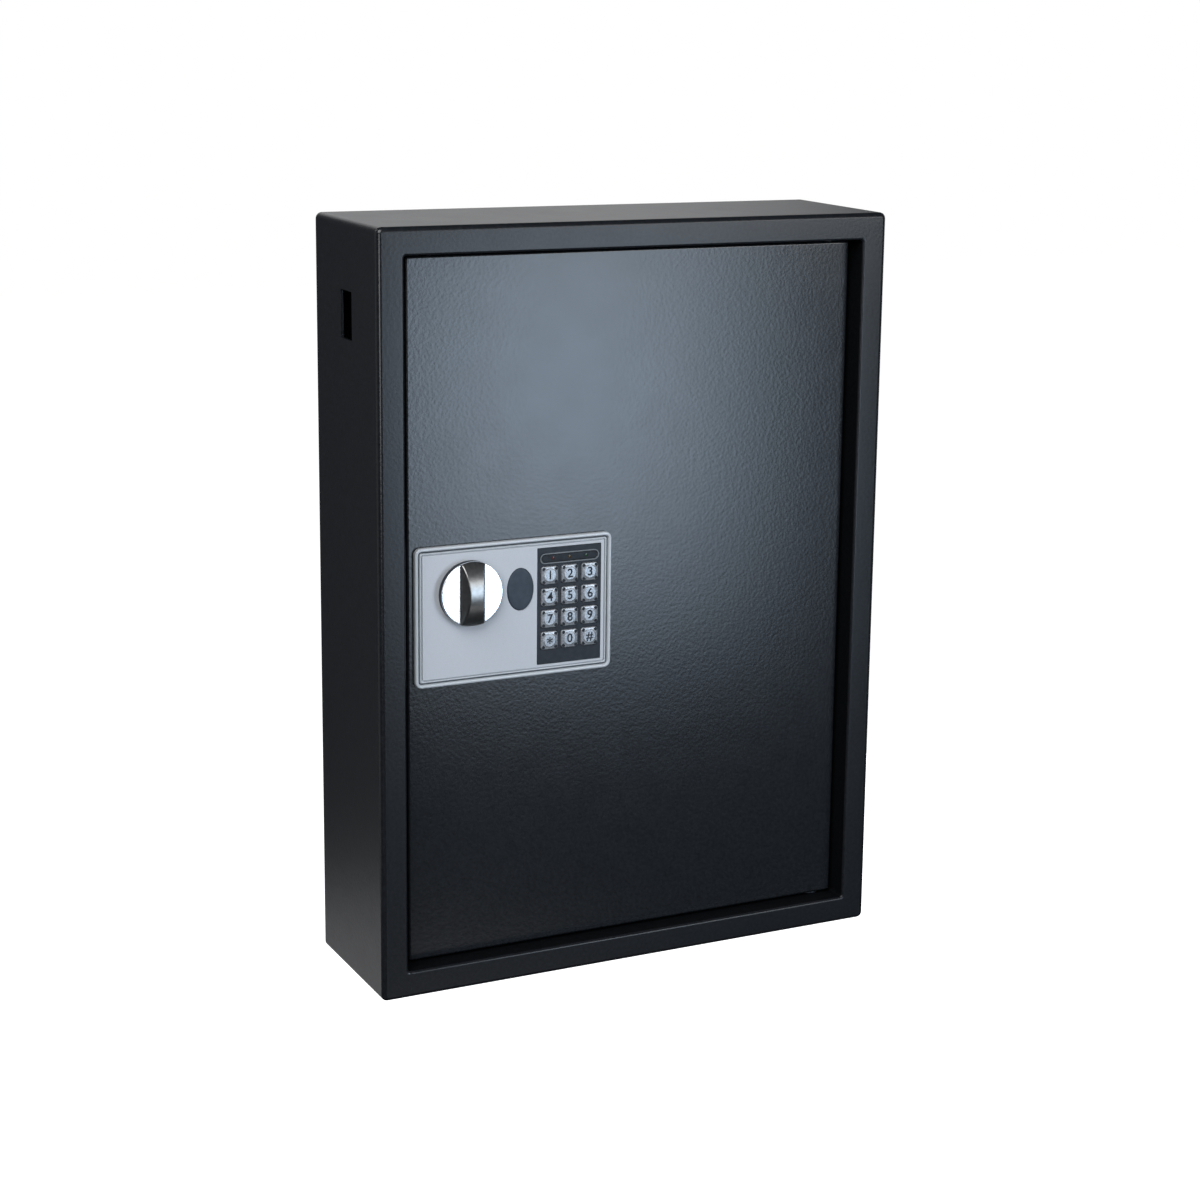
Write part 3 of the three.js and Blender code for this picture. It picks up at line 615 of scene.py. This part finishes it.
def text_mesh(name, body, size, depth):
    """Flat lettering in the XZ plane, centred on the origin, that faces -Y. Sizes in mm."""
    curve = bpy.data.curves.new(name, "FONT")
    curve.body = body
    curve.size = size * MM
    curve.extrude = depth * MM / 2
    curve.offset = 0.02 * size * MM
    curve.align_x = "CENTER"
    curve.align_y = "CENTER"
    holder = bpy.data.objects.new(name, curve)
    bpy.context.scene.collection.objects.link(holder)
    bpy.context.view_layer.update()
    graph = bpy.context.evaluated_depsgraph_get()
    mesh = bpy.data.meshes.new_from_object(holder.evaluated_get(graph))
    bpy.data.objects.remove(holder)
    mesh.transform(Matrix.Rotation(math.pi / 2, 4, "X"))
    return mesh


def star_glyph(name, reach, half, depth):
    """A six-armed star in the XZ plane, as one outline given a small depth. Sizes in mm."""
    notch = 2 * half / math.sqrt(3)
    outline = []
    for i in range(6):
        a = math.radians(90 + 60 * i)
        along, across = (math.cos(a), math.sin(a)), (-math.sin(a), math.cos(a))
        for side in (-1, 1):
            outline.append((reach * along[0] + side * half * across[0],
                            reach * along[1] + side * half * across[1]))
        a += math.radians(30)
        outline.append((notch * 1.2 * math.cos(a), notch * 1.2 * math.sin(a)))
    return loft(name, [[(x, y, z) for x, z in outline] for y in (-depth / 2, depth / 2)], smooth=0)


def key_caps():
    """Twelve keys, each with a raised island, four dimples and its printed digit."""
    labels = {"hash": "#"}
    for name in ["1", "2", "3", "4", "5", "6", "7", "8", "9", "star", "0", "hash"]:
        node = f"key_{name}"
        body = f"keypad_{name}"
        x, _, z = middle(node)
        (_, front, _), (_, back, _) = span(node)
        table = front + 0.45
        section = [(KEY_WIDTH, back), (KEY_WIDTH, table + 0.5), (12.8, table + 0.2),
                   (12.3, table), (10.2, table), (9.7, table - 0.12), (9.2, front + 0.06),
                   (8.7, front), (8.2, front)]
        rings = []
        for size, y in section:
            radius = 2.0 if size > 10 else size * 0.46
            rings.append(rect_ring(size, size, radius, y, x, z, 8))
        cap = loft(f"cap_{name}", rings, smooth=50)
        place(cap, body, "key_metal", KEY_METAL, node)
        for i, (sx, sz) in enumerate([(-1, 1), (1, 1), (-1, -1), (1, -1)]):
            dimple = loft(f"dimple_{name}_{i}", [
                oval_ring(2 * r, 2 * r, y, x + sx * DIMPLE_REACH, z + sz * DIMPLE_REACH, 20)
                for r, y in [(1.3, table + 0.3), (1.3, table - 0.04), (1.1, table - 0.05)]])
            place(dimple, body, "black_plastic", INK)
        if name == "star":
            digit = star_glyph("digit_star", 2.5, 0.55, PRINT_DEPTH)
        else:
            mesh = text_mesh(f"digit_{name}", labels.get(name, name), DIGIT_SIZE, PRINT_DEPTH)
            digit = new_object(f"digit_{name}", mesh, 0)
        digit.location = Vector((x, front + 0.03, z)) * MM
        place(digit, body, "black_plastic", INK)


def indicator_lamps():
    """The raised outline round the indicator strip, and its three dark lamps."""
    x, _, z = middle("indicator_window")
    front = span("indicator_window")[0][1]
    tints = {
        "red": ((0.05, 0.006, 0.005), (0.06, 0.008, 0.006)),
        "amber": ((0.05, 0.03, 0.006), (0.06, 0.036, 0.008)),
        "green": ((0.006, 0.035, 0.01), (0.008, 0.045, 0.014)),
    }
    y = span("keypad_mask")[0][1]
    section = [(0, y + 0.3), (0, y - 0.02), (0.1, y - 0.1), (0.8, y - 0.1), (0.9, y - 0.02),
               (0.9, y + 0.3)]
    outline = loft("strip_outline", [
        rect_ring(STRIP_WIDTH - 2 * inset, STRIP_HEIGHT - 2 * inset, STRIP_HEIGHT / 2 - inset,
                  depth, x, z, 8)
        for inset, depth in section], closed=True)
    place(outline, "door", "black_plastic", STRIP_RIM)
    for i, (name, colours) in enumerate(tints.items()):
        lens = lathe(f"lamp_{name}", [(0, front + 0.4), (1.1, front + 0.4), (1.1, front - 0.02),
                                      (0.8, front - 0.12), (0, front - 0.18)],
                     "y", (x + (i - 1) * LAMP_PITCH, 0, z), 24, 60)
        place(lens, "door", "smoked_plastic", plastic(f"lens_{name}", *colours, 0.15, 2, 0.003))


# ------------------------------------------------------------------ inside
def round_pieces():
    """Turned pieces with a finer outline than their CAD solids."""
    for side in ("upper", "lower"):
        x, y, z = middle(f"bolt_{side}")
        (tip, _, _), (root, _, _) = span(f"bolt_{side}")
        bolt = lathe(f"live_bolt_{side}", [(0, tip), (4.6, tip), (5.2, tip + 0.3), (6.5, tip + 1.6),
                                           (6.5, root - 0.3), (6.2, root), (0, root)],
                     "x", (0, y, z), 48)
        place(bolt, "bolt_work", "chrome", CHROME, f"bolt_{side}")
        x, y, _ = middle(f"hinge_pin_{side}")
        (_, _, low), (_, _, high) = span(f"hinge_pin_{side}")
        pin = lathe(f"pivot_pin_{side}", [(0, low), (2.2, low), (3, low + 1), (3, high - 1),
                                          (2.2, high), (0, high)], "z", (x, y, 0), 40)
        place(pin, "door", "zinc_steel", STEEL, f"hinge_pin_{side}")
    x, _, z = middle("reset_button")
    (_, low, _), (_, high, _) = span("reset_button")
    button = lathe("reset_cap", [(0, low), (3, low), (3, high - 0.8), (2.7, high - 0.25),
                                 (2.1, high), (0, high)], "y", (x, 0, z), 40)
    place(button, "code_reset", "red_plastic", RED, "reset_button")


def battery_cells():
    """AA cells, each turned end for end from the one before it."""
    for i in range(1, CELLS + 1):
        node = f"battery_cell_{i}"
        _, y, z = middle(node)
        (left, _, _), (right, _, _) = span(node)
        flip = i % 2 == 0
        profile = [(0, 0), (6.2, 0), (6.9, 0.2), (7.1, 0.8), (7.1, 47.6), (6.8, 48.3), (5.4, 48.6),
                   (2.8, 48.6), (2.7, 49.8), (2.3, 50), (0, 50)]
        along = [(r, right - a if flip else left + a) for r, a in profile]
        cell = lathe(f"cell_{i}", along, "x", (0, y, z), 40)
        place(cell, "door", "cell_jacket", SLEEVE, node)


def coil(name, x, y, z, length, radii, turns, wire):
    """A wire spring along X from x, between two radii, as a swept tube. Sizes in mm."""
    rings = []
    steps = turns * 16
    for i in range(steps + 1):
        a, t = 2 * math.pi * i / 16, i / steps
        r = radii[0] + (radii[1] - radii[0]) * t
        out = Vector((0, math.cos(a), math.sin(a)))
        spot = Vector((x + length * t, y, z)) + out * r
        rings.append([tuple(spot + wire * (math.cos(b) * out + math.sin(b) * Vector((1, 0, 0))))
                      for b in (2 * math.pi * k / 8 for k in range(8))])
    return loft(name, rings, smooth=60)


def battery_contacts():
    """A plate at both ends of every cell, and a spring at its flat end."""
    (box_left, _, _), (box_right, _, _) = span("battery_box")
    inner_left, inner_right = box_left + CELL_WALL, box_right - CELL_WALL
    for i in range(1, CELLS + 1):
        _, y, z = middle(f"battery_cell_{i}")
        (left, _, _), (right, _, _) = span(f"battery_cell_{i}")
        for side, face, inward in (("left", inner_left, 1), ("right", inner_right, -1)):
            rings = [[(x, a, b) for a, _, b in rect_ring(9, 11, 1, 0, y, z, 3)]
                     for x in (face + 0.02 * inward, face + 0.32 * inward)]
            place(loft(f"contact_{side}_{i}", rings), "door", "zinc_steel", STEEL)
        start, end = inner_left + 0.5, left - 0.2
        if i % 2 == 0:
            start, end = inner_right - 0.5, right + 0.2
        spring = coil(f"contact_spring_{i}", start, y, z, end - start, (3.6, 2.2), 2, 0.22)
        place(spring, "door", "zinc_steel", STEEL)


def screw(name, body, at, facing):
    """A pan-head screw with a cross recess; facing is +1 or -1 along Y."""
    profile = [(0, 0.1), (2.7, 0.1), (2.7, -0.5), (2.45, -1.0), (1.9, -1.4), (1.0, -1.6),
               (0, -1.65)]
    head = lathe(name, profile, "y", (0, 0, 0), 28)
    for width, height in ((2.8, 0.6), (0.6, 2.8)):
        cut(head, loft("cutter", [rect_ring(width, height, 0.1, y, steps=1) for y in (-3, -0.9)]))
    head.data.set_sharp_from_angle(angle=math.radians(35))
    tilt = 17  # the recess is at a slant, as a driver leaves it
    turn = Matrix.Rotation(math.radians(tilt if facing < 0 else tilt + 180), 4, "Y")
    if facing > 0:
        turn = Matrix.Rotation(math.pi, 4, "Z") @ turn
    head.data.transform(Matrix.Translation(Vector(at) * MM) @ turn)
    place(head, body, "zinc_steel", STEEL)


def bar_face(i):
    """Depth of the flat front of a hook bar."""
    return span(f"hook_bar_{i}")[1][1] - SHEET


def screws():
    for i in range(1, HOOK_BARS + 1):
        x, _, z = middle(f"hook_bar_{i}")
        for side, label in ((-1, "left"), (1, "right")):
            at = (x + side * BAR_SCREW_REACH, bar_face(i), z)
            screw(f"bar_screw_{i}_{label}", "cabinet", at, -1)
    (left, front, bottom), (right, _, top) = span("lock_cover")
    for x, across in ((left + 22, "left"), (right - 22, "right")):
        for z, up in ((bottom + 6, "lower"), (top - 6, "upper")):
            screw(f"cover_screw_{up}_{across}", "door", (x, front + 1.5, z), 1)
    for side in ("upper", "lower"):
        (left, _, low), (right, back, high) = span(f"hinge_block_{side}")
        for x, label in ((left + 5.5, "inner"), (right - 4.5, "outer")):
            screw(f"hinge_screw_{side}_{label}", "door", (x, back, (low + high) / 2), 1)


def number_cards():
    """A printed card along the top of each hook bar, with the number of every hook."""
    for i in range(1, HOOK_BARS + 1):
        x, _, z = middle(f"hook_bar_{i}")
        z += CARD_RISE
        face = bar_face(i)
        card = loft(f"number_card_{i}", [
            rect_ring(CARD_WIDTH - 2 * inset, CARD_HEIGHT - 2 * inset, 0.8 - inset, y, x, z, 4)
            for inset, y in [(0, face), (0, face - 0.2), (0.1, face - 0.28)]])
        place(card, "cabinet", "silver_face", PAPER)
        bm = bmesh.new()
        for k in range(HOOKS):
            digits = text_mesh("hook_number", str(HOOKS * (i - 1) + k + 1), 5.2, 0.05)
            spot = Vector((x + (k - (HOOKS - 1) / 2) * HOOK_PITCH, face - 0.3, z))
            digits.transform(Matrix.Translation(spot * MM))
            bm.from_mesh(digits)
            bpy.data.meshes.remove(digits)
        mesh = bpy.data.meshes.new(f"numbers_{i}")
        bm.to_mesh(mesh)
        bm.free()
        place(new_object(f"hook_numbers_{i}", mesh, 0), "cabinet", "black_plastic", INK)


def lid_ribs():
    """Five grip ribs on the battery lid."""
    (left, _, low), (_, back, high) = span("battery_lid")
    width, height, margin, pitch = 1.2, 36, 10, 4
    for i in range(5):
        x, z = left + margin + pitch * i, (low + high) / 2
        rings = [rect_ring(width - 2 * inset, height - 2 * inset, 0.55 - inset, y, x, z, 4)
                 for inset, y in [(0, back - 0.1), (0, back + 0.25), (0.2, back + 0.5)]]
        place(loft(f"lid_rib_{i + 1}", rings), "battery_door", "black_plastic", BLACK)


# ------------------------------------------------------------------ camera, light, floor
def camera():
    """The view that was fitted to the corners of the cabinet, the door and the lock panel."""
    yaw, pitch, roll = (math.radians(v) for v in (-27.781, -12.321, 1.024))
    forward = Vector((-math.sin(yaw) * math.cos(pitch), math.cos(yaw) * math.cos(pitch),
                      math.sin(pitch)))
    side = Vector((math.cos(yaw), math.sin(yaw), 0))
    up = side.cross(forward)
    right = side * math.cos(roll) + up * math.sin(roll)
    top = up * math.cos(roll) - side * math.sin(roll)
    data = bpy.data.cameras.new("camera")
    data.sensor_width = 36
    data.lens = 75.3
    data.shift_x = -0.0677
    data.shift_y = -0.0532
    data.clip_end = 50
    obj = bpy.data.objects.new("camera", data)
    bpy.context.scene.collection.objects.link(obj)
    turn = Matrix((right, top, -forward)).transposed().to_4x4()
    obj.matrix_world = Matrix.Translation(Vector((-0.7971, -1.696, 0.4341))) @ turn
    bpy.context.scene.camera = obj


def fade_edges(light, sharpness):
    """Lets a softbox fade towards its edges, as a diffused one does."""
    light.use_nodes = True
    tree = light.node_tree
    spot = tree.nodes.new("ShaderNodeSeparateXYZ")
    tree.links.new(tree.nodes.new("ShaderNodeNewGeometry").outputs["Parametric"], spot.inputs[0])
    product = None
    for axis in ("X", "Y"):
        value = spot.outputs[axis]
        for operation, *numbers in (("MULTIPLY_ADD", 2, -1), ("ABSOLUTE",),
                                    ("POWER", sharpness), ("MULTIPLY_ADD", -1, 1)):
            step = tree.nodes.new("ShaderNodeMath")
            step.operation = operation
            tree.links.new(value, step.inputs[0])
            for i, number in enumerate(numbers):
                step.inputs[i + 1].default_value = number
            value = step.outputs[0]
        if product is None:
            product = value
            continue
        join = tree.nodes.new("ShaderNodeMath")
        join.operation = "MULTIPLY"
        tree.links.new(product, join.inputs[0])
        tree.links.new(value, join.inputs[1])
        product = join.outputs[0]
    tree.links.new(product, tree.nodes["Emission"].inputs["Strength"])


def softbox(name, at, towards, width, height, power, colour=(1, 1, 1), fade=0):
    """A rectangular light, in metres and watts; a fade above 0 softens its edges."""
    data = bpy.data.lights.new(name, "AREA")
    data.shape = "RECTANGLE"
    data.size = width
    data.size_y = height
    data.energy = power
    data.color = colour
    obj = bpy.data.objects.new(name, data)
    bpy.context.scene.collection.objects.link(obj)
    obj.location = at
    aim = Vector(towards) - Vector(at)
    obj.rotation_euler = aim.to_track_quat("-Z", "Y").to_euler()
    if fade:
        fade_edges(data, fade)


def studio():
    """The lights, and a world that is white to the camera and dim to the object."""
    cool = (0.66, 0.82, 1.0)
    softbox("key_box", (0.575, -1.45, -0.06), (0, -0.1, 0.05), 0.62, 0.84, 13.8, cool, 2)
    softbox("knob_card", (0.436, -1.45, -0.34), (-0.12, -0.1, 0.02), 0.22, 0.22, 0.1)
    softbox("corner_card", (0.85, -1.45, 0.42), (0.1, -0.12, 0.25), 0.9, 0.5, 12, fade=2)
    softbox("upper_left", (-1.3, -1.5, 1.7), (0, -0.1, 0), 2.2, 1.9, 65, (0.97, 0.985, 1.0))
    softbox("rear_box", (0.35, 1.4, 0.75), (0, 0, 0.2), 1.6, 0.8, 3.8, fade=4)
    softbox("left_wall", (-1.6, 0.8, 0.1), (-0.2, 0, 0), 2.0, 2.0, 2.6)
    softbox("low_left", (-0.7, 1.2, -1.0), (-0.2, 0, -0.3), 0.8, 0.5, 0.8)
    softbox("floor_card", (0.28, -1.08, -0.86), (-0.13, -0.12, 0), 0.5, 0.4, 0.6, fade=2)
    softbox("left_strip", (-1.18, -1.63, 0.06), (-0.2, -0.12, 0.2), 0.85, 0.75, 9.5, fade=2)
    softbox("right_strip", (2.2, 0.7, -0.1), (0.2, -0.12, 0), 0.5, 1.6, 4)
    softbox("back_right", (1.7, 1.9, -0.35), (0, 0, 0), 1.6, 1.4, 9)
    softbox("back_left", (-1.9, 1.9, 2.0), (0, 0, 0), 1.4, 1.4, 10)
    world = bpy.data.worlds.new("studio")
    world.use_nodes = True
    bpy.context.scene.world = world
    tree = world.node_tree
    seen = tree.nodes.new("ShaderNodeLightPath").outputs["Is Camera Ray"]
    mix = tree.nodes.new("ShaderNodeMix")
    mix.data_type = "RGBA"
    mix.inputs["A"].default_value = (0.035, 0.04, 0.047, 1)
    mix.inputs["B"].default_value = (1, 1, 1, 1)
    tree.links.new(seen, mix.inputs["Factor"])
    tree.links.new(mix.outputs["Result"], tree.nodes["Background"].inputs["Color"])
    bpy.context.scene.view_settings.view_transform = "Standard"


def floor():
    """A white floor, well below the cabinet."""
    reach, level = 9000, -900
    corners = [(-reach, -reach), (reach, -reach), (reach, reach), (-reach, reach)]
    obj = mesh_from("floor", [(x, y, level) for x, y in corners], [(0, 1, 2, 3)], 0)
    look = Look("pale_floor", Base_Color=(0.9, 0.9, 0.9, 1), Roughness=0.9)
    look.shader.inputs["Emission Color"].default_value = (1, 1, 1, 1)
    look.shader.inputs["Emission Strength"].default_value = 1.0
    paint(obj, look.material)
    obj.visible_glossy = False
    obj.visible_diffuse = False


camera()
studio()
floor()
dress_cad_nodes()
cabinet_shell()
door_pan()
lock_bezel()
lock_face()
oval_cover()
turn_knob()
key_caps()
indicator_lamps()
round_pieces()
battery_cells()
battery_contacts()
screws()
number_cards()
lid_ribs()
